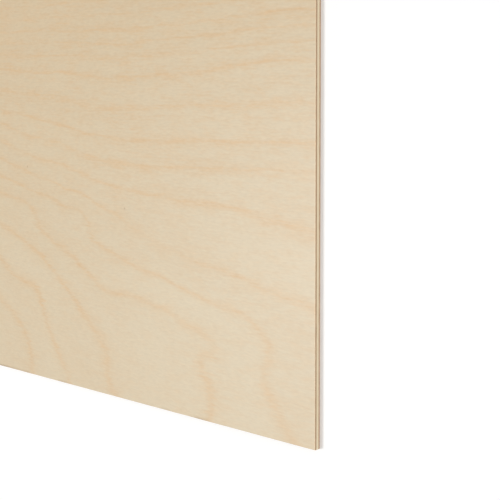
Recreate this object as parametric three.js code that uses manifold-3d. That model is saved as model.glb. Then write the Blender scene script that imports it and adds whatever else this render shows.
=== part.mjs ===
// Birch plywood sheet: thin three-ply panel stock, lying on its back face.
// Three rotary-cut birch veneers are pressed together, the core's grain across the faces' grain.
// One saw trims the pressed blank square, and a light sanding breaks the arris round each face.
// Millimetres. +X runs along the face grain, +Y across it, +Z out of the front face.
// The origin is the middle of the back face.

import * as THREE from "three";
import { mergeVertices } from "three/addons/utils/BufferGeometryUtils.js";
import Module from "manifold-3d";

// ---- Driving dimensions ----

const LENGTH = 600; // trimmed length, along the face grain
const WIDTH = 300; // trimmed width, across the face grain
const FRONT_VENEER = 0.9; // thickness of the front face's veneer, sanded
const CORE_VENEER = 1.2; // thickness of the cross-banded core veneer
const BACK_VENEER = 0.9; // thickness of the back face's veneer, sanded
const ARRIS_RADIUS = 0.2; // radius that sanding leaves along every edge of both faces
const ARRIS_FLATS = 5; // flats that make up the quarter round of an arris

// ---- Lay-up, from the back face up ----

const LAY_UP = [
  { name: "back_veneer", thickness: BACK_VENEER, colour: 0xdccba9, roughness: 0.62 },
  { name: "core_veneer", thickness: CORE_VENEER, colour: 0xd7c7a7, roughness: 0.78 },
  { name: "front_veneer", thickness: FRONT_VENEER, colour: 0xe0cfb1, roughness: 0.6 },
];

const THICKNESS = LAY_UP.reduce((sum, veneer) => sum + veneer.thickness, 0);

// ---- Outlines and solids ----

const wasm = await Module();
wasm.setup();

function rectangle(length, width) {
  const outline = new THREE.Shape();
  outline.moveTo(-length / 2, -width / 2);
  outline.lineTo(length / 2, -width / 2);
  outline.lineTo(length / 2, width / 2);
  outline.lineTo(-length / 2, width / 2);
  outline.closePath();
  return outline;
}

function solidFrom(geometry) {
  geometry.deleteAttribute("normal");
  geometry.deleteAttribute("uv");
  const merged = mergeVertices(geometry);
  const mesh = new wasm.Mesh({
    numProp: 3,
    vertProperties: merged.getAttribute("position").array,
    triVerts: new Uint32Array(merged.getIndex().array),
  });
  return new wasm.Manifold(mesh);
}

function geometryFrom(solid) {
  const mesh = solid.getMesh();
  const geometry = new THREE.BufferGeometry();
  geometry.setAttribute("position", new THREE.BufferAttribute(mesh.vertProperties, mesh.numProp));
  geometry.setIndex(new THREE.BufferAttribute(mesh.triVerts, 1));
  const faceted = geometry.toNonIndexed();
  faceted.computeVertexNormals();
  return faceted;
}

// The whole sheet as the saw and the sanding block leave it. The arris is a quarter round that
// takes its radius off the face and the side alike, and its runs mitre at the corners.
function trimmedSheet() {
  const geometry = new THREE.ExtrudeGeometry(rectangle(LENGTH, WIDTH), {
    depth: THICKNESS - 2 * ARRIS_RADIUS,
    bevelEnabled: true,
    bevelThickness: ARRIS_RADIUS,
    bevelSize: ARRIS_RADIUS,
    bevelOffset: -ARRIS_RADIUS,
    bevelSegments: ARRIS_FLATS,
  });
  geometry.translate(0, 0, ARRIS_RADIUS);
  return solidFrom(geometry);
}

// One veneer of the pressed blank, still larger than the sheet all round. Its two faces are set to
// their heights directly, so the veneers at a glue line store one height and meet face to face.
function untrimmedVeneer(bottom, top) {
  const geometry = new THREE.BoxGeometry(LENGTH + THICKNESS, WIDTH + THICKNESS, top - bottom);
  const position = geometry.getAttribute("position");
  for (let i = 0; i < position.count; i += 1) {
    position.setZ(i, position.getZ(i) < 0 ? bottom : top);
  }
  return solidFrom(geometry);
}

// ---- Assembly ----

// Heights that part the veneers: the glue lines, and one height clear of each face, because
// the outer veneers are thicker until the faces are sanded.
function partingHeights(layUp) {
  const heights = [-THICKNESS];
  let height = 0;
  for (const veneer of layUp.slice(0, -1)) {
    height += veneer.thickness;
    heights.push(height);
  }
  heights.push(2 * THICKNESS);
  return heights;
}

function pressedAndTrimmed(layUp) {
  const sheet = new THREE.Group();
  const trimmed = trimmedSheet();
  const heights = partingHeights(layUp);
  layUp.forEach((veneer, i) => {
    const solid = trimmed.intersect(untrimmedVeneer(heights[i], heights[i + 1]));
    const material = new THREE.MeshStandardMaterial({
      color: veneer.colour,
      roughness: veneer.roughness,
      metalness: 0,
    });
    const mesh = new THREE.Mesh(geometryFrom(solid), material);
    mesh.name = veneer.name;
    sheet.add(mesh);
  });
  return sheet;
}

const plywoodSheet = pressedAndTrimmed(LAY_UP);

export default plywoodSheet;
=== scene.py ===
"""Birch plywood sheet, three veneers thick: the wood of each veneer, the floor it lies on and the light."""

import math
from collections import namedtuple

import bmesh
import bpy
import numpy as np
from mathutils import Matrix, Vector, noise


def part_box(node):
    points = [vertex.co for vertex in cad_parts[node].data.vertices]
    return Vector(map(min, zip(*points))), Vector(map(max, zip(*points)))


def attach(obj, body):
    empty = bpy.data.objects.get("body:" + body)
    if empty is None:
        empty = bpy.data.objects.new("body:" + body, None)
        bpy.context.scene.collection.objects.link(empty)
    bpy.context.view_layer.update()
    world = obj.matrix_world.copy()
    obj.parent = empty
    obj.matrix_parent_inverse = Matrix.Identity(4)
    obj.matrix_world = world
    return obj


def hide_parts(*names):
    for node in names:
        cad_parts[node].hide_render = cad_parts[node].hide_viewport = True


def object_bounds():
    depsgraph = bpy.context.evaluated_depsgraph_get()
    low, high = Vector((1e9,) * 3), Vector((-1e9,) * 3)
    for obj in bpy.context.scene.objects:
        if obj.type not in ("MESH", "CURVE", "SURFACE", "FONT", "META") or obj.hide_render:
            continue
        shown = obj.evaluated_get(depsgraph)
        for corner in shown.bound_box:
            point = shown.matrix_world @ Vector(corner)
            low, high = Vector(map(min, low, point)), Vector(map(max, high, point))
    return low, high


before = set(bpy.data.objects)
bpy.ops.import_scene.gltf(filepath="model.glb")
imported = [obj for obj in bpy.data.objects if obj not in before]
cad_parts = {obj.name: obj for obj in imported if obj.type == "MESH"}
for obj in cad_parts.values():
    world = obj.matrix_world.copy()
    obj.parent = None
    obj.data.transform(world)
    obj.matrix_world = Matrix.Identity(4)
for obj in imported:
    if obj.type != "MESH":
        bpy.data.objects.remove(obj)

bl_info = {
    "name": "Birch plywood sheet",
    "version": (1, 0, 0),
    "blender": (4, 5, 0),
    "location": "3D View > Sidebar > Plywood",
    "description": "Finishes a three-ply birch sheet: rotary-cut faces, sawn edges, floor and light",
    "category": "Object",
}

CAD_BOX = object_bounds()
# The sheet lies centred on the origin, so this corner holds half its length and half its width.
HALF = CAD_BOX[1]
BODY = "root"
MM = 0.001

# Growth rings on the face, where the knife crossed the edge of each year's wood, in millimetres. The lower
# rings turn down to the lower edge: each is a few points, how far in from the right end and how far up.
TURNING_RINGS = (
    ((600, 80), (400, 82), (290, 80), (235, 60), (204, 35), (190, 25), (182, 14), (179, 0)),
    ((600, 88), (400, 91), (290, 88), (230, 70), (202, 54), (192, 47.5), (174, 42), (170, 33.5), (164, 20),
     (155, 7.5), (151, 0)),
    ((600, 97), (400, 100), (290, 96), (230, 82), (202, 71.5), (187, 67), (170, 59.5), (150, 44.5),
     (135, 31.5), (124.5, 20), (124, 10), (119, 0)),
    ((600, 105), (400, 108), (290, 104), (230, 93), (200, 87.5), (183, 84.5), (175, 80.5), (170.5, 72.5),
     (160, 66.5), (140, 57), (125, 48.5), (105, 48.2), (83, 44.3), (62, 37.8), (57.5, 34), (56, 31.5),
     (60, 29), (63.5, 26), (61.5, 21), (58, 14), (57, 6), (58, 0)),
    ((600, 112), (400, 115), (280, 109), (200, 95), (178, 90.5), (160, 87.5), (143, 84), (138, 82),
     (135.5, 77), (133, 72), (120, 66), (100, 61), (73, 55.3), (53, 50.7), (40, 49.5), (27, 41.5), (24, 32),
     (27.5, 24), (22, 15.5), (11, 0)),
    ((600, 119), (400, 121), (280, 115.5), (200, 104.5), (175, 97.5), (152, 92.7), (132, 88.5), (115, 83.5),
     (104, 77.3), (85, 72.6), (65, 67.3), (45, 65.2), (35, 62.9), (25, 60.5), (0, 55.3)),
)
# The upper rings run from end to end: each is its height at these distances from the right end.
STATIONS = (600, 400, 280, 195, 165, 150, 135, 105, 90, 75, 50, 38, 25, 12, 0)
LEVEL_RINGS = (
    (126, 127, 122, 111.5, 105, 102.8, 99, 94.7, 93.9, 93, 92.4, 90.8, 88.9, 87, 85),
    (134, 134, 129, 120.5, 114.8, 112.9, 109.2, 106.4, 106, 106.5, 107.9, 108.2, 108.7, 108.8, 108.7),
    (142, 141, 135, 126.3, 122.9, 121.4, 118.3, 116.7, 117.1, 117.6, 118.6, 119, 119.4, 119.7, 120),
    (151, 149, 143, 137, 134.6, 133.2, 131, 130.6, 131.3, 132, 132.9, 133.8, 134.5, 134.8, 134.8),
    (160, 157, 151, 146.9, 145.8, 145.6, 144.3, 143.6, 144.6, 145.4, 147.9, 149.5, 150.9, 151, 151),
    (167, 163, 158, 154.2, 153.5, 153.7, 153.2, 152.4, 153.3, 154.2, 155.7, 156.8, 157.5, 158.2, 158.6),
    (173, 169, 163, 159.2, 159.1, 159.1, 158.7, 157.9, 159.1, 160.2, 161.5, 162.9, 163.9, 164.2, 164),
    (180, 175, 168, 163.8, 164.1, 164.1, 163.5, 163.3, 164.8, 165.3, 167, 168.2, 169.1, 169.9, 169.9),
    (188, 182, 174, 170, 170.3, 170.6, 170.7, 171.4, 172.2, 173, 173.8, 174.7, 175.5, 176.3, 177),
    (195, 188, 179, 174.8, 175.3, 176.4, 176.5, 178, 179, 180, 181.5, 182.3, 183, 183.8, 184.5),
)
# Faint false rings, where growth halted for a while within a year: the ring number where each one lies.
FALSE_RINGS = (6.81, 8.69)
# Where the run of bold and faint years starts.
YEARS_BEFORE = 21693
# Pin knots on the front face: how far in from the right end and how far up, in millimetres.
PIN_KNOTS = ((109.9, 86.7), (178.9, 101.2))
# Rings before the first turn down further to the left, each lower than the one after it, and the eighth
# would lie flat along the lower edge. They repeat the first ring from the point at which it starts to turn,
# a step in millimetres further left each time, and reach the left end a little lower still.
RINGS_TO_THE_LEFT = 6
RINGS_TO_FLAT = 8
LEFT_STEP = 45.0
LEFT_RISE = 0.95
TURN_STARTS = 3
# Rings after the last lie further up, a little further apart each time, in millimetres.
RINGS_ABOVE = 10
ABOVE_STEP = 7.0
ABOVE_WIDENING = 0.55


# The sRGB curve: straight up to the knee, a power from there on.
SRGB_KNEE = 0.04045
SRGB_SLOPE = 12.92
SRGB_OFFSET = 0.055
SRGB_POWER = 2.4
FULL_CHANNEL = 255


def srgb(code):
    """Linear RGBA of a colour written as a hash and six hex digits."""
    linear = []
    for channel in bytes.fromhex(code[1:]):
        share = channel / FULL_CHANNEL
        curved = ((share + SRGB_OFFSET) / (1 + SRGB_OFFSET)) ** SRGB_POWER
        linear.append(curved if share > SRGB_KNEE else share / SRGB_SLOPE)
    return (*linear, 1.0)


WHITE = srgb("#ffffff")


def colour_setting(name, description, code):
    """A colour property with a hex default."""
    return bpy.props.FloatVectorProperty(
        name=name, description=description, subtype="COLOR", size=4, min=0.0, max=1.0, default=srgb(code)
    )


def length_setting(name, description, default):
    """A length property, in metres."""
    return bpy.props.FloatProperty(
        name=name, description=description, unit="LENGTH", precision=5, min=0.0, default=default
    )


def point_setting(name, description, default):
    """A point property, in metres."""
    return bpy.props.FloatVectorProperty(
        name=name,
        description=description,
        subtype="TRANSLATION",
        unit="LENGTH",
        precision=4,
        default=default,
    )


def power_setting(name, description, default):
    """A lamp's power property, in watts."""
    return bpy.props.FloatProperty(name=name, description=description, unit="POWER", default=default)


class PlywoodSizes(bpy.types.PropertyGroup):
    """Sizes of the finish."""

    face_pitch: length_setting("Face mesh pitch", "Spacing of the mesh that carries the rings", 2 * MM)
    core_pitch: length_setting("Core mesh pitch", "Spacing of the mesh along the core's sawn edges", 5 * MM)
    arris: length_setting("Arris radius", "Rounding that sanding leaves along the outer edges", 0.2 * MM)
    wear: length_setting("Arris wear", "How far handling has rubbed the arris back", 0.08 * MM)
    saw_ripple: length_setting("Saw ripple", "How far the saw wandered in and out", 0.06 * MM)


class PlywoodColours(bpy.types.PropertyGroup):
    """Colours of birch as it is cut in each direction."""

    sapwood: colour_setting("Sapwood", "Pale sapwood of the sanded face", "#d4c4a6")
    warm: colour_setting("Warm sapwood", "The warmer sapwood of the later years", "#d0ba97")
    ring: colour_setting("Growth ring", "The tan line at the edge of a year's growth", "#d3ad7c")
    end_grain: colour_setting("End grain", "Fibres of the front veneer cut across by the saw", "#bd9e80")
    back_end_grain: colour_setting("Back end grain", "The paler end grain of the back veneer", "#d1b093")
    # The colour of the painted shade along the long edges, which the pin knots take too.
    rub_and_edge_shade: colour_setting("Edge shade", "Painted shade along the long edges, and the pin knots' colour", "#8f6c48")
    pore: colour_setting("Pores", "The vessels' dark mouths in the end grain", "#8a6a4c")
    long_grain: colour_setting("Long grain", "Fibres laid open lengthwise by the saw", "#e0d4b9")
    long_shade: colour_setting("Long grain shade", "The darker streaks of the long grain", "#d4c09b")


class PlywoodStage(bpy.types.PropertyGroup):
    """Floor, light and camera."""

    camera_at: point_setting("Camera", "Where the camera stands", (0.6131, 0.0041, 0.3715))
    camera_aim: point_setting("Camera aim", "What the camera looks at", (0.2657, -0.0741, 0.003))
    roll: bpy.props.FloatProperty(
        name="Roll",
        description="Turn of the camera about its view",
        subtype="ANGLE",
        default=math.radians(-0.33),
    )
    lens: bpy.props.FloatProperty(
        name="Lens", description="Focal length", subtype="DISTANCE_CAMERA", default=92.16
    )
    sky: bpy.props.FloatProperty(
        name="Sky", description="Strength of the light from all round", default=0.42
    )
    key_at: point_setting("Key", "Where the large soft box hangs, beyond the sheet", (-1.21, -0.56, 2.6))
    key_size: length_setting("Key size", "Width of the large soft box", 1.0)
    key_power: power_setting("Key power", "Power of the large soft box", 47.4)
    fill_at: point_setting("Fill", "Where the small soft box stands, low before the end", (1.9, -0.1, 0.45))
    fill_size: length_setting("Fill size", "Width of the small soft box", 0.8)
    fill_power: power_setting("Fill power", "Power of the small soft box", 13.0)
    lamp_aim: point_setting("Lamp aim", "The point that both soft boxes face", (0.25, -0.05, 0.0))
    floor: colour_setting("Floor", "Matt white floor", "#f0f0f0")


# Growth rings


def ring_points():
    """Rows of x, y and ring number for every ring, in millimetres from the lower right corner."""
    rings = [*TURNING_RINGS, *(tuple(zip(STATIONS, heights)) for heights in LEVEL_RINGS)]
    numbered = dict(enumerate(rings))
    first, last = rings[0], rings[-1]
    for step in range(1, RINGS_TO_THE_LEFT + 1):
        lower = 1 - step / RINGS_TO_FLAT
        numbered[-step] = [(x + LEFT_STEP * step, y * lower) for x, y in first[TURN_STARTS:]]
        numbered[-step].insert(0, (first[0][0], first[0][1] * lower * LEFT_RISE))
    for step in range(1, RINGS_ABOVE + 1):
        rise = ABOVE_STEP * step + ABOVE_WIDENING * step ** 2
        numbered[len(rings) - 1 + step] = [(x, y + rise) for x, y in last]
    return np.array([(x, y, number) for number, ring in numbered.items() for x, y in ring], float)


# The plate's own unit of length, in millimetres, and the parts in which the vertices are taken.
SPAN = 100.0
PARTS = 10
# Keeps the logarithm of a distance finite.
NOT_NOUGHT = 1e-12
# A plane's terms: its level and its tilt each way.
PLANE = 3


class GrowthField:
    """A thin plate bent through the rings: its height at a ring is that ring's number."""

    def __init__(self, rows):
        self.centres = rows[:, :2] / SPAN
        count = len(rows)
        system = np.zeros((count + PLANE, count + PLANE))
        system[:count, :count] = self.bend(self.centres)[0]
        system[:count, count] = 1.0
        system[:count, count + 1:] = self.centres
        system[count:, :count] = system[:count, count:].T
        solved = np.linalg.solve(system, np.append(rows[:, 2], np.zeros(PLANE)))
        self.push, self.level, self.tilt = solved[:count], solved[count], solved[count + 1:]

    def bend(self, at):
        """How each centre's push bends the plate at each place, and the slope that it gives there."""
        offset = at[:, None] - self.centres[None]
        square = np.maximum((offset ** 2).sum(axis=2), NOT_NOUGHT)
        logs = np.log(square) / 2
        return square * logs, offset * (2 * logs + 1)[..., None]

    def __call__(self, places):
        """Growth at each place, and its slope in rings for each millimetre."""
        at = np.asarray(places) / SPAN
        bends, slopes = self.bend(at)
        growth = bends @ self.push + self.level + at @ self.tilt
        return growth, (np.einsum("ijk,j->ik", slopes, self.push) + self.tilt) / SPAN


def write_growth(mesh, turn):
    """Stores growth and its slope on every vertex. Turn is -1 for a veneer laid end for end."""
    field = GrowthField(ring_points())
    places = [(HALF.x - turn * vert.co.x, turn * vert.co.y + HALF.y) for vert in mesh.vertices]
    places = np.array(places) / MM
    # In parts, to spare memory.
    growth, slope = zip(*(field(part) for part in np.array_split(places, PARTS)))
    slope = np.concatenate(slope) * (-turn, turn)
    slope = np.column_stack((slope, np.zeros(len(slope))))
    mesh.attributes.new("growth", "FLOAT", "POINT").data.foreach_set("value", np.concatenate(growth))
    mesh.attributes.new("growth_slope", "FLOAT_VECTOR", "POINT").data.foreach_set("vector", slope.ravel())


# Materials


# A pattern of the wood: how far its grains reach along the sheet's length, width and thickness, in
# millimetres, the seed of its noise, and how much finer detail lies in it.
Pattern = namedtuple("Pattern", "x y z seed detail", defaults=(2.0,))
# A birch fibre is a fiftieth of a millimetre wide and a millimetre long, too fine to show, so the patterns
# of the face are bundles of fibres, as coarse as they need to be to show.
ROWS = Pattern(9, 0.9, 9, seed=1)
SWAY = Pattern(16, 6, 16, seed=2)
FADING = Pattern(100, 16, 100, seed=286)
DASHES = Pattern(7, 0.8, 7, seed=4)
STREAKS = Pattern(12, 0.9, 12, seed=5, detail=3.0)
FLECKS = Pattern(3.2, 0.9, 3.2, seed=6)
CLOUDS = Pattern(9, 3, 9, seed=7)
NAP = Pattern(2.4, 0.8, 2.4, seed=8, detail=1.0)
PORES = Pattern(4, 0.16, 4, seed=10)
PATCHES = Pattern(60, 22, 60, seed=0, detail=3.0)
# Patches where the painted shade along the long edges is stronger.
EDGE_SHADE_PATCHES = Pattern(22, 22, 22, seed=3, detail=3.0)
# The patterns of the sawn edges. A vessel's mouth is a tenth of a millimetre wide, and the saw draws it out
# sideways.
END_GRAIN_STREAKS = Pattern(5, 5, 0.14, seed=21, detail=3.0)
END_GRAIN_SPECKS = Pattern(0.4, 0.4, 0.1, seed=23)
LONG_GRAIN_STREAKS = Pattern(18, 18, 0.14, seed=21, detail=3.0)
LONG_GRAIN_SPECKS = Pattern(3, 3, 0.1, seed=23)
# The values between which nearly all of a noise lies, narrower spans that leave a pattern's ends flat, and
# the span of two noises added up.
NOISE = (0.2, 0.8)
DASH_NOISE = (0.3, 0.7)
FADING_NOISE = (0.3, 0.66)
EDGE_SHADE_NOISE = (0.52, 0.66)
SAWN_NOISE = (0.75, 1.3)
# How far the rows carry a ring along the fibres and how far it sways across them, in millimetres.
CARRY = 2.8
SWAY_HEIGHT = 0.7
# Half widths of a ring's line, of the band about it and of a false ring, in millimetres. The pairs are for
# rings that crowd and for rings that lie the given gap apart.
WIDE_GAP = 40.0
LINE_WIDTHS = (0.36, 2.6)
BAND_WIDTHS = (1.6, 6.0)
FALSE_RING_WIDTH = 1.1
# How bold a ring is: from the earlier to the later years, in the faintest and the boldest year, and where
# it fades most and least.
BOLD_YEARS = (0.0, 14.0)
BOLDNESS_OF_YEARS = (1.12, 0.78)
YEAR_BOLDNESS = (0.68, 1.0)
FADED = (0.5, 1.0)
# How strongly each of these tints the wood towards the colour of the rings. The pairs are for the faintest
# and the boldest dash of a line, and for the palest and the darkest year. A false ring's is set against
# that of a band.
LINE_TINT = (0.26, 0.5)
BAND_TINT = 0.15
FALSE_RING_TINT = 1.3
YEAR_TINT = (0.01, 0.15)
STREAK_TINT = 0.19
FLECK_TINT = 0.16
CLOUD_TINT = 0.24
# How much each of these lightens and darkens the wood.
YEAR_SHADE = 0.014
STREAK_SHADE = 0.01
FLECK_SHADE = 0.013
NAP_SHADE = 0.034
PORE_SHADE = 0.038
# How far along the fibres one year's wood keeps its own tone, in millimetres, and the detail of that tone.
YEAR_LENGTH = 90.0
YEAR_DETAIL = 1.0
# The wood grows warmer with the years, warmer with the distance from the right end in millimetres, and in
# patches. Its paleness towards the lower wood and the right end is partly a painted sheen, the reflection
# of the floor and the lamp laid into the colour, and partly the wood's own drift in tone.
WARM_AND_SHEEN_YEARS = (-3.0, 12.0)
WARMTH_AND_SHEEN_OF_YEARS = (-0.24, 0.51)
SHEEN_FROM_END = (50.0, 210.0)
WARMTH_AND_SHEEN_FROM_END = (0.0, 0.34)
WARMTH_OF_PATCHES = 0.3
# The lower wood, cut almost along the rings, is curlier: its streaks are fainter, and its colour is more
# even.
CURLY_YEARS = (1.0, 9.0)
STRAIGHTNESS = (0.4, 0.85)
LIVELINESS = (0.5, 1.0)
# A painted highlight lightens the arris of the two ends, where the rounded edge would catch the light: how
# far in that reaches, in millimetres, and how much.
ARRIS_HIGHLIGHT_REACH = (0.4, 0.7)
ARRIS_HIGHLIGHT = 1.07
# A painted shade darkens the long edges: it fades out between these distances from them, in millimetres,
# and is this strong at most.
EDGE_SHADE_REACH = (0.3, 1.2)
EDGE_SHADE_TINT = 0.5
PIN_KNOT_RADII = (0.2, 0.7)
PIN_KNOT_TINT = 0.32
# Wood's index of refraction. Sanding leaves the face silky, and the saw leaves the edges rough.
WOOD_IOR = 1.5
SANDED_ROUGHNESS = (0.37, 0.43)
SANDED_BUMP = 0.3
SANDED_RELIEF = 0.02 * MM
SAWN_ROUGHNESS = 0.75
SAWN_BUMP = 0.5
SAWN_RELIEF = 0.04 * MM


def add(tree, kind, inputs=(), output=None, **settings):
    """Adds a shader node with its settings, its values and its links, and gives one of its outputs."""
    node = tree.nodes.new("ShaderNode" + kind)
    for key, value in settings.items():
        setattr(node, key, value)
    for key, value in inputs.items() if isinstance(inputs, dict) else enumerate(inputs):
        socket = next(s for i, s in enumerate(node.inputs) if s.enabled and key in (i, s.name))
        if isinstance(value, bpy.types.NodeSocket):
            tree.links.new(value, socket)
        else:
            socket.default_value = value
    return next((s for s in node.outputs if s.enabled and output in (None, s.name)), None)


def new_material(name):
    """An empty node material."""
    material = bpy.data.materials.new(name)
    material.use_nodes = True
    material.node_tree.nodes.clear()
    return material, material.node_tree


def grains_of(tree, pattern, shift=0.0):
    """The grains of a pattern, as a noise. The shift moves it on from veneer to veneer."""
    counted = add(tree, "Mapping", {
        "Vector": add(tree, "TexCoord", output="Object"),
        "Scale": [1 / (size * MM) for size in (pattern.x, pattern.y, pattern.z)],
        "Location": (pattern.seed + shift,) * 3,
    })
    return add(tree, "TexNoise", {"Vector": counted, "Scale": 1.0, "Detail": pattern.detail})


def line(tree, offset, width):
    """A soft line: 1 where the offset is nought, fading over the width on either side."""
    away = add(tree, "Math", (offset, width), operation="DIVIDE")
    away = add(tree, "Math", (away, away), operation="MULTIPLY")
    away = add(tree, "Math", (away, -1.0), operation="MULTIPLY")
    return add(tree, "Math", (away,), operation="EXPONENT")


def ragged_growth(tree, shift):
    """Growth at each point, with the rings' edges left ragged by the knife, and its steepness in rings for
    each millimetre."""
    growth = add(tree, "Attribute", attribute_name="growth", output="Fac")
    slope = add(tree, "Attribute", attribute_name="growth_slope", output="Vector")
    steepness = add(tree, "VectorMath", (slope,), output="Value", operation="LENGTH")
    # Each row of fibres carries the ring's edge a little further along or a little less far.
    move = add(tree, "CombineXYZ", {
        "X": add(tree, "MapRange", (grains_of(tree, ROWS, shift), *NOISE, -CARRY, CARRY)),
        "Y": add(tree, "MapRange", (grains_of(tree, SWAY, shift), *NOISE, -SWAY_HEIGHT, SWAY_HEIGHT)),
    })
    carried = add(tree, "VectorMath", (slope, move), output="Value", operation="DOT_PRODUCT")
    return add(tree, "Math", (growth, carried), operation="ADD"), steepness


def ring_boldness(tree, number, shift):
    """How bold a ring is: each year has its own boldness, and fades and comes back along the ring."""
    year = add(tree, "Math", (number, YEARS_BEFORE), operation="ADD")
    odd = add(tree, "TexWhiteNoise", {"W": year}, noise_dimensions="1D")
    own = add(tree, "MapRange", (odd, 0.0, 1.0, *YEAR_BOLDNESS))
    left = add(tree, "MapRange", (grains_of(tree, FADING, shift), *FADING_NOISE, *FADED))
    early = add(tree, "MapRange", (number, *BOLD_YEARS, *BOLDNESS_OF_YEARS))
    left = add(tree, "Math", (left, own), operation="MULTIPLY")
    return add(tree, "Math", (left, early), operation="MULTIPLY")


def ring_lines(tree, shift):
    """How strongly the growth rings tint each point of the face: a thin ragged line in a wide pale band."""
    growth, steepness = ragged_growth(tree, shift)
    number = add(tree, "Math", (growth,), operation="ROUND")
    offset = add(tree, "Math", (growth, number), operation="SUBTRACT")
    offset = add(tree, "Math", (offset, steepness), operation="DIVIDE")
    # A ring crossed at a shallow angle shows a broader line, so the line widens as the rings spread.
    gap = add(tree, "Math", (1.0, steepness), operation="DIVIDE")
    core = line(tree, offset, add(tree, "MapRange", (gap, 0.0, WIDE_GAP, *LINE_WIDTHS)))
    band = line(tree, offset, add(tree, "MapRange", (gap, 0.0, WIDE_GAP, *BAND_WIDTHS)))
    for halt in FALSE_RINGS:
        aside = add(tree, "Math", (growth, halt), operation="SUBTRACT")
        aside = add(tree, "Math", (aside, steepness), operation="DIVIDE")
        aside = line(tree, aside, FALSE_RING_WIDTH)
        band = add(tree, "Math", (aside, FALSE_RING_TINT, band), operation="MULTIPLY_ADD")
    dashes = add(tree, "MapRange", (grains_of(tree, DASHES, shift), *DASH_NOISE, *LINE_TINT))
    core = add(tree, "Math", (core, dashes), operation="MULTIPLY")
    both = add(tree, "Math", (band, BAND_TINT, core), operation="MULTIPLY_ADD")
    return add(tree, "Math", (both, ring_boldness(tree, number, shift)), operation="MULTIPLY")


def tone_of_years(tree, growth, shift):
    """From -1 where a year's wood is paler than that of the years about it, to 1 where it is darker."""
    along = add(tree, "SeparateXYZ", (add(tree, "TexCoord", output="Object"),), output="X")
    along = add(tree, "Math", (along, 1 / (YEAR_LENGTH * MM)), operation="MULTIPLY")
    year = add(tree, "CombineXYZ", {"X": along, "Y": growth, "Z": shift})
    tone = add(tree, "TexNoise", {"Vector": year, "Scale": 1.0, "Detail": YEAR_DETAIL})
    return add(tree, "MapRange", (tone, *NOISE, -1.0, 1.0))


def near_border(tree, axis, fade):
    """1 at the two borders across an axis, fading to 0 between two distances from them."""
    out = add(tree, "SeparateXYZ", (add(tree, "TexCoord", output="Object"),), output=axis)
    out = add(tree, "Math", (out,), operation="ABSOLUTE")
    border = getattr(HALF, axis.lower())
    outer, inner = (border - inwards * MM for inwards in fade)
    return add(tree, "MapRange", (out, inner, outer, 0.0, 1.0))


def edge_shade_and_knots(tree, shift):
    """How far the face darkens: a painted shade along its long edges, stronger in patches, and its pin
    knots.
    """
    patches = add(tree, "MapRange", (grains_of(tree, EDGE_SHADE_PATCHES, shift), *EDGE_SHADE_NOISE, 0.0, EDGE_SHADE_TINT))
    darkening = add(tree, "Math", (near_border(tree, "Y", EDGE_SHADE_REACH), patches), operation="MULTIPLY")
    point = add(tree, "TexCoord", output="Object")
    inner, outer = (radius * MM for radius in PIN_KNOT_RADII)
    for inwards, up in PIN_KNOTS:
        centre = (HALF.x - inwards * MM, up * MM - HALF.y, CAD_BOX[1].z)
        knot = add(tree, "VectorMath", (point, centre), output="Value", operation="DISTANCE")
        knot = add(tree, "MapRange", (knot, inner, outer, PIN_KNOT_TINT, 0.0))
        darkening = add(tree, "Math", (darkening, knot), operation="ADD")
    return darkening


def warmth_and_sheen(tree, growth, patches):
    """How far the sapwood has turned warm, less where a painted sheen holds it pale: 0 for the palest, 1
    for the warmest.
    """
    years = add(tree, "MapRange", (growth, *WARM_AND_SHEEN_YEARS, *WARMTH_AND_SHEEN_OF_YEARS))
    along = add(tree, "SeparateXYZ", (add(tree, "TexCoord", output="Object"),), output="X")
    near, far = (HALF.x - inwards * MM for inwards in SHEEN_FROM_END)
    along = add(tree, "MapRange", (along, far, near, *reversed(WARMTH_AND_SHEEN_FROM_END)))
    both = add(tree, "Math", (years, along), operation="ADD")
    return add(tree, "Math", (patches, WARMTH_OF_PATCHES, both), operation="MULTIPLY_ADD")


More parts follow.
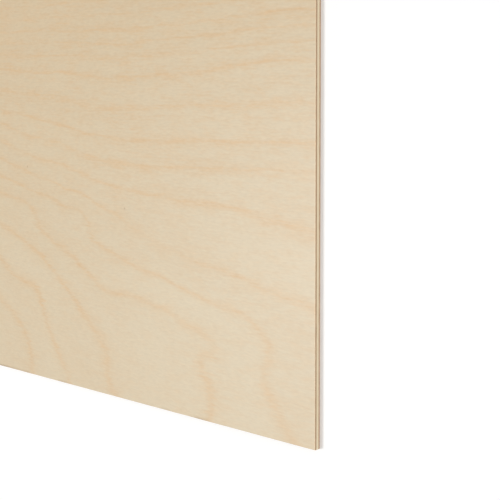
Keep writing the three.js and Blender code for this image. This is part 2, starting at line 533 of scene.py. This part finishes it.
def rotary_cut_birch(name, shift):
    """Birch veneer peeled from a turning log, then sanded: pale, silky and almost even in tone, with tan
    rings that wander and spread where the knife ran along them, and short fine fibres."""
    material, tree = new_material(name)
    palette = bpy.context.scene.plywood_colours
    growth = add(tree, "Attribute", attribute_name="growth", output="Fac")
    patches, streaks, flecks, clouds, nap, pores = (
        grains_of(tree, pattern, shift) for pattern in (PATCHES, STREAKS, FLECKS, CLOUDS, NAP, PORES)
    )
    # Mixing towards the warm colour leaves the lower wood and the right end paler, partly as a painted
    # sheen.
    wood = add(tree, "Mix", {
        "Factor": warmth_and_sheen(tree, growth, patches), "A": palette.sapwood, "B": palette.warm
    }, data_type="RGBA")
    straight = add(tree, "MapRange", (growth, *CURLY_YEARS, *STRAIGHTNESS))
    streaks = add(tree, "MapRange", (streaks, *NOISE, -1.0, 1.0))
    streaks = add(tree, "Math", (streaks, straight), operation="MULTIPLY")
    years = tone_of_years(tree, growth, shift)
    tint = ring_lines(tree, shift)
    lively = add(tree, "MapRange", (growth, *CURLY_YEARS, *LIVELINESS))
    for more, share in (
        (add(tree, "MapRange", (years, -1.0, 1.0, *YEAR_TINT)), 1.0),
        (add(tree, "MapRange", (streaks, -1.0, 1.0, -STREAK_TINT, STREAK_TINT)), lively),
        (add(tree, "MapRange", (flecks, *NOISE, -FLECK_TINT, FLECK_TINT)), lively),
        (add(tree, "MapRange", (clouds, *NOISE, -CLOUD_TINT, CLOUD_TINT)), lively),
    ):
        tint = add(tree, "Math", (more, share, tint), operation="MULTIPLY_ADD")
    wood = add(tree, "Mix", {"Factor": tint, "A": wood, "B": palette.ring}, data_type="RGBA")
    # A painted highlight lightens the arris of the two ends; the shades after it are the wood's own grain.
    light = add(tree, "MapRange", (near_border(tree, "X", ARRIS_HIGHLIGHT_REACH), 0.0, 1.0, 1.0, ARRIS_HIGHLIGHT))
    for more in (
        add(tree, "MapRange", (years, -1.0, 1.0, 1 + YEAR_SHADE, 1 - YEAR_SHADE)),
        add(tree, "MapRange", (streaks, -1.0, 1.0, 1 + STREAK_SHADE, 1 - STREAK_SHADE)),
        add(tree, "MapRange", (flecks, *NOISE, 1 + FLECK_SHADE, 1 - FLECK_SHADE)),
        add(tree, "MapRange", (nap, *NOISE, 1 - NAP_SHADE, 1 + NAP_SHADE)),
        add(tree, "MapRange", (pores, *NOISE, 1 + PORE_SHADE, 1 - PORE_SHADE)),
    ):
        light = add(tree, "Math", (light, more), operation="MULTIPLY")
    wood = add(tree, "VectorMath", {"Vector": wood, "Scale": light}, operation="SCALE")
    # A painted shade darkens the long edges in patches, and the pin knots darken the wood too.
    wood = add(tree, "Mix", {"Factor": edge_shade_and_knots(tree, shift), "A": wood, "B": palette.rub_and_edge_shade}, data_type="RGBA")
    shader = add(tree, "BsdfPrincipled", {
        "Base Color": wood,
        "Roughness": add(tree, "MapRange", (streaks, -1.0, 1.0, *SANDED_ROUGHNESS)),
        "IOR": WOOD_IOR,
        "Normal": add(tree, "Bump", {"Height": flecks, "Strength": SANDED_BUMP, "Distance": SANDED_RELIEF}),
    })
    add(tree, "OutputMaterial", {"Surface": shader})
    return material


def sawn_birch(name, wood, shade, streaks, specks):
    """Birch as a fine saw leaves it: matt and a little rough, with streaks that run along the edge. Cut
    across, its fibres drink in light and look brown and speckled. Cut along, they stay pale."""
    material, tree = new_material(name)
    specks = grains_of(tree, specks)
    mixed = add(tree, "Math", (grains_of(tree, streaks), specks), operation="ADD")
    mixed = add(tree, "MapRange", (mixed, *SAWN_NOISE, 0.0, 1.0))
    shader = add(tree, "BsdfPrincipled", {
        "Base Color": add(tree, "Mix", {"Factor": mixed, "A": wood, "B": shade}, data_type="RGBA"),
        "Roughness": SAWN_ROUGHNESS,
        "IOR": WOOD_IOR,
        "Normal": add(tree, "Bump", {"Height": specks, "Strength": SAWN_BUMP, "Distance": SAWN_RELIEF}),
    })
    add(tree, "OutputMaterial", {"Surface": shader})
    return material


def end_grain(name, wood):
    """The sawn ends of a veneer's fibres."""
    pore = bpy.context.scene.plywood_colours.pore
    return sawn_birch(f"sawn birch end grain, {name}", wood, pore, END_GRAIN_STREAKS, END_GRAIN_SPECKS)


def long_grain(name):
    """A veneer sawn along its fibres."""
    palette = bpy.context.scene.plywood_colours
    wood, shade = palette.long_grain, palette.long_shade
    return sawn_birch(f"sawn birch long grain, {name}", wood, shade, LONG_GRAIN_STREAKS, LONG_GRAIN_SPECKS)


# Shapes


# Segments across a rounded arris, and the turn in radians past which an edge is sharp enough to need one.
ARRIS_SEGMENTS = 4
SHARP = 1.0
# How steep a face may stand, by the upward part of its normal, and still belong to the sanded face.
FACE_NORMAL = 0.45
# How much of the half width or half length lies within the rubbed border, and how far down that reaches.
RUBBED_SHARE = 0.0015
RUBBED_DEPTH = 0.3 * MM
# Distance over which the rubbing and the saw's wander change.
RUB_LENGTH = 12 * MM
WANDER_LENGTH = 9 * MM
# Where in the noise the wander along the length and along the width start.
LENGTH_WANDER = 1
WIDTH_WANDER = 2
# Two places closer than this are the same.
SAME = 0.001 * MM
# Which way a face veneer's length runs: as the front's does, or end for end.
AS_LAID = 1
END_FOR_END = -1
# Places of a piece's materials.
FACE, END, LONG_EDGE = range(3)
# Where each veneer's noise starts.
FRONT_SHIFT = 0.0
CORE_SHIFT = 20.0
BACK_SHIFT = 40.0


def panel_grid(pitch):
    """A flat grid over the whole sheet, as a bmesh, at z = 0."""
    bm = bmesh.new()
    along, across = (round(2 * reach / pitch) for reach in HALF.xy)
    bmesh.ops.create_grid(bm, x_segments=along, y_segments=across, size=1.0)
    bmesh.ops.scale(bm, vec=(HALF.x, HALF.y, 1.0), verts=bm.verts)
    return bm


def thicken(bm, thickness):
    """Draws the grid's border down to the thickness and closes it underneath."""
    border = [edge for edge in bm.edges if edge.is_boundary]
    drawn = bmesh.ops.extrude_edge_only(bm, edges=border)["geom"]
    lowered = [part for part in drawn if isinstance(part, bmesh.types.BMVert)]
    bmesh.ops.translate(bm, vec=(0, 0, -thickness), verts=lowered)
    bmesh.ops.contextual_create(bm, geom=[part for part in drawn if isinstance(part, bmesh.types.BMEdge)])
    bmesh.ops.recalc_face_normals(bm, faces=bm.faces)


def round_arris(bm, radius):
    """Rounds the upper border."""
    upper = [edge for edge in bm.edges if all(abs(vert.co.z) < SAME for vert in edge.verts)]
    border = [edge for edge in upper if edge.calc_face_angle() > SHARP]
    bmesh.ops.bevel(
        bm, geom=border, offset=radius, offset_type="OFFSET", segments=ARRIS_SEGMENTS, profile=0.5,
        affect="EDGES", material=-1
    )


def rub_arris(bm, depth, shift):
    """Rubs the rounded border back by a little, more in some places than in others."""
    for vert in bm.verts:
        out = max(abs(vert.co.x) / HALF.x, abs(vert.co.y) / HALF.y)
        share = (out - 1) / RUBBED_SHARE + 1
        if share < 0 or vert.co.z < -RUBBED_DEPTH:
            continue
        rub_and_edge_shade = noise.noise(Vector((vert.co.x / RUB_LENGTH, vert.co.y / RUB_LENGTH, shift)))
        vert.co.z -= depth * max(0.0, rub_and_edge_shade) * share


def wander_of_the_saw(bm, depth, shift):
    """Draws the sawn edges in by a little, more in some places than in others, as the saw left them."""
    for vert in bm.verts:
        along_x = noise.noise(Vector((vert.co.x / WANDER_LENGTH, 0, shift + LENGTH_WANDER)))
        along_y = noise.noise(Vector((0, vert.co.y / WANDER_LENGTH, shift + WIDTH_WANDER)))
        if HALF.x - abs(vert.co.x) < SAME:
            vert.co.x -= math.copysign(depth * max(0.0, along_y), vert.co.x)
        if HALF.y - abs(vert.co.y) < SAME:
            vert.co.y -= math.copysign(depth * max(0.0, along_x), vert.co.y)


def paint_by_side(bm):
    """Gives each face the material of the side that it looks to."""
    for face in bm.faces:
        normal = face.normal
        face.smooth = False
        if abs(normal.z) > FACE_NORMAL:
            face.material_index = FACE
        else:
            face.material_index = END if abs(normal.x) > abs(normal.y) else LONG_EDGE


def make_piece(name, bm, materials, node):
    """Turns a bmesh into a finished piece that replaces a veneer of the frame."""
    mesh = bpy.data.meshes.new(name)
    bm.to_mesh(mesh)
    bm.free()
    piece = bpy.data.objects.new(name, mesh)
    bpy.context.collection.objects.link(piece)
    for material in materials:
        mesh.materials.append(material)
    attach(piece, BODY)
    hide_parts(node)
    return piece


def face_veneer(name, node, turn, shift, wood):
    """One face veneer: rounded along its outer border, with the growth rings on its sanded face. The shift
    moves its noises on, and wood is the colour of its end grain."""
    settings = bpy.context.scene.plywood_sizes
    lo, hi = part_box(node)
    bm = panel_grid(settings.face_pitch)
    thicken(bm, hi.z - lo.z)
    round_arris(bm, settings.arris)
    rub_arris(bm, settings.wear, shift)
    wander_of_the_saw(bm, settings.saw_ripple, shift)
    bm.normal_update()
    paint_by_side(bm)
    if turn == END_FOR_END:
        bmesh.ops.rotate(bm, cent=(0, 0, 0), matrix=Matrix.Rotation(math.pi, 3, "X"), verts=bm.verts)
        bmesh.ops.translate(bm, vec=(0, 0, lo.z), verts=bm.verts)
    else:
        bmesh.ops.translate(bm, vec=(0, 0, hi.z), verts=bm.verts)
    face = rotary_cut_birch(f"rotary-cut birch veneer, {name}", shift)
    piece = make_piece(name, bm, (face, end_grain(name, wood), long_grain(name)), node)
    write_growth(piece.data, turn)


def core_veneer(name, node):
    """The middle veneer, whose fibres run across the sheet."""
    settings = bpy.context.scene.plywood_sizes
    lo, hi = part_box(node)
    bm = panel_grid(settings.core_pitch)
    thicken(bm, hi.z - lo.z)
    wander_of_the_saw(bm, settings.saw_ripple, CORE_SHIFT)
    bm.normal_update()
    paint_by_side(bm)
    bmesh.ops.translate(bm, vec=(0, 0, hi.z), verts=bm.verts)
    along = long_grain(name)
    across = end_grain(name, bpy.context.scene.plywood_colours.end_grain)
    make_piece(name, bm, (along, along, across), node)


# Stage


# The kinds of ray that show the background.
RAYS_TO_BACKGROUND = ("Camera", "Glossy", "Transmission")
# Half the floor's side in metres, and its squares along a side.
FLOOR_HALF = 6.0
FLOOR_SEGMENTS = 8
# How much the camera's floor is lifted to reach white, and where it fades into the white of the sky.
FLOOR_GLOW = 0.17
FADE = (0.36, 0.8)
# The floor lies a hair under the sheet, so that the two faces don't coincide.
FLOOR_GAP = 0.02 * MM
# Width of the camera's sensor, in millimetres.
SENSOR = 36.0


def seen_ray(tree):
    """1 for rays that show the background: the camera's, and those that a gloss or a glass sends on."""
    seen = 0.0
    for kind in RAYS_TO_BACKGROUND:
        ray = add(tree, "LightPath", output=f"Is {kind} Ray")
        seen = add(tree, "Math", (seen, ray), operation="MAXIMUM")
    return seen


def studio_paper():
    """White paper, matt and even: it shows nothing but the shadow that falls on it."""
    material, tree = new_material("white studio paper")
    matt = add(tree, "BsdfDiffuse", {"Color": bpy.context.scene.plywood_stage.floor})
    glow = add(tree, "Emission", {"Color": WHITE, "Strength": FLOOR_GLOW})
    near = add(tree, "AddShader", (matt, glow))
    # The lamps' light falls off before the floor ends: what is seen of it there is as white as the sky.
    far = add(tree, "Emission", {"Color": WHITE, "Strength": 1.0})
    point = add(tree, "TexCoord", output="Object")
    away = add(tree, "VectorMath", (point,), output="Value", operation="LENGTH")
    away = add(tree, "MapRange", (away, *FADE, 0.0, 1.0))
    seen = add(tree, "MixShader", (away, near, far))
    shader = add(tree, "MixShader", (seen_ray(tree), matt, seen))
    add(tree, "OutputMaterial", {"Surface": shader})
    return material


def make_floor():
    """A wide floor, white to the camera wherever no shadow falls."""
    bm = bmesh.new()
    bmesh.ops.create_grid(bm, x_segments=FLOOR_SEGMENTS, y_segments=FLOOR_SEGMENTS, size=FLOOR_HALF)
    bmesh.ops.translate(bm, vec=(0, 0, CAD_BOX[0].z - FLOOR_GAP), verts=bm.verts)
    mesh = bpy.data.meshes.new("floor")
    bm.to_mesh(mesh)
    bm.free()
    mesh.materials.append(studio_paper())
    floor = bpy.data.objects.new("floor", mesh)
    bpy.context.collection.objects.link(floor)


def make_sky():
    """Even light from all round, white where the camera sees it."""
    world = bpy.data.worlds.new("studio")
    bpy.context.scene.world = world
    world.use_nodes = True
    tree = world.node_tree
    tree.nodes.clear()
    sky = bpy.context.scene.plywood_stage.sky
    strength = add(tree, "MapRange", (seen_ray(tree), 0.0, 1.0, sky, 1.0))
    shader = add(tree, "Background", {"Color": WHITE, "Strength": strength})
    add(tree, "OutputWorld", {"Surface": shader})


def make_lamp(name, at, aim, size, power):
    """A soft box that faces a point."""
    light = bpy.data.lights.new(name, "AREA")
    light.shape = "SQUARE"
    light.size = size
    light.energy = power
    lamp = bpy.data.objects.new(name, light)
    lamp.location = at
    lamp.rotation_euler = (Vector(at) - Vector(aim)).to_track_quat("Z", "Y").to_euler()
    bpy.context.collection.objects.link(lamp)


def make_camera():
    """The camera, turned so that the sheet's width stands upright in the view."""
    stage = bpy.context.scene.plywood_stage
    camera = bpy.data.objects.new("camera", bpy.data.cameras.new("camera"))
    at, aim = Vector(stage.camera_at), Vector(stage.camera_aim)
    back = (at - aim).normalized()
    right = Vector((0, 1, 0)).cross(back).normalized()
    turn = Matrix((right, back.cross(right), back)).transposed()
    camera.matrix_world = Matrix.LocRotScale(at, turn @ Matrix.Rotation(stage.roll, 3, "Z"), None)
    camera.data.sensor_width = SENSOR
    camera.data.lens = stage.lens
    bpy.context.collection.objects.link(camera)
    bpy.context.scene.camera = camera


# Operators


class PLYWOOD_OT_front_veneer(bpy.types.Operator):
    """Makes the front veneer"""

    bl_idname = "plywood.front_veneer"
    bl_label = "Front veneer"

    def execute(self, context):
        wood = context.scene.plywood_colours.end_grain
        face_veneer("front_veneer_birch", "front_veneer", AS_LAID, FRONT_SHIFT, wood)
        return {"FINISHED"}


class PLYWOOD_OT_core_veneer(bpy.types.Operator):
    """Makes the core veneer"""

    bl_idname = "plywood.core_veneer"
    bl_label = "Core veneer"

    def execute(self, context):
        core_veneer("core_veneer_birch", "core_veneer")
        return {"FINISHED"}


class PLYWOOD_OT_back_veneer(bpy.types.Operator):
    """Makes the back veneer"""

    bl_idname = "plywood.back_veneer"
    bl_label = "Back veneer"

    def execute(self, context):
        wood = context.scene.plywood_colours.back_end_grain
        face_veneer("back_veneer_birch", "back_veneer", END_FOR_END, BACK_SHIFT, wood)
        return {"FINISHED"}


class PLYWOOD_OT_stage(bpy.types.Operator):
    """Makes the floor, the light and the camera"""

    bl_idname = "plywood.stage"
    bl_label = "Floor, light and camera"

    def execute(self, context):
        stage = context.scene.plywood_stage
        make_floor()
        make_sky()
        make_lamp("key", stage.key_at, stage.lamp_aim, stage.key_size, stage.key_power)
        make_lamp("fill", stage.fill_at, stage.lamp_aim, stage.fill_size, stage.fill_power)
        make_camera()
        context.scene.view_settings.view_transform = "Standard"
        return {"FINISHED"}


class PLYWOOD_PT_panel(bpy.types.Panel):
    """Lists the steps of the finish with their settings"""

    bl_idname = "PLYWOOD_PT_panel"
    bl_label = "Birch plywood sheet"
    bl_space_type = "VIEW_3D"
    bl_region_type = "UI"
    bl_category = "Plywood"

    def draw(self, context):
        """Shows every setting, then a button for every step."""
        for group in GROUPS:
            settings = getattr(context.scene, group)
            for key in settings.bl_rna.properties.keys():
                if key not in ("name", "rna_type"):
                    self.layout.prop(settings, key)
        for step in STEPS:
            self.layout.operator(step.bl_idname)


GROUPS = {"plywood_sizes": PlywoodSizes, "plywood_colours": PlywoodColours, "plywood_stage": PlywoodStage}
STEPS = (PLYWOOD_OT_front_veneer, PLYWOOD_OT_core_veneer, PLYWOOD_OT_back_veneer, PLYWOOD_OT_stage)
CLASSES = (*GROUPS.values(), *STEPS, PLYWOOD_PT_panel)


def register():
    """Registers the settings, the operators and the panel."""
    for one in CLASSES:
        bpy.utils.register_class(one)
    for name, group in GROUPS.items():
        setattr(bpy.types.Scene, name, bpy.props.PointerProperty(type=group))


def unregister():
    """Takes them all back."""
    for name in GROUPS:
        delattr(bpy.types.Scene, name)
    for one in reversed(CLASSES):
        bpy.utils.unregister_class(one)


def main():
    """Makes every piece and the stage."""
    register()
    bpy.ops.plywood.front_veneer()
    bpy.ops.plywood.core_veneer()
    bpy.ops.plywood.back_veneer()
    bpy.ops.plywood.stage()


if __name__ == "__main__":
    main()
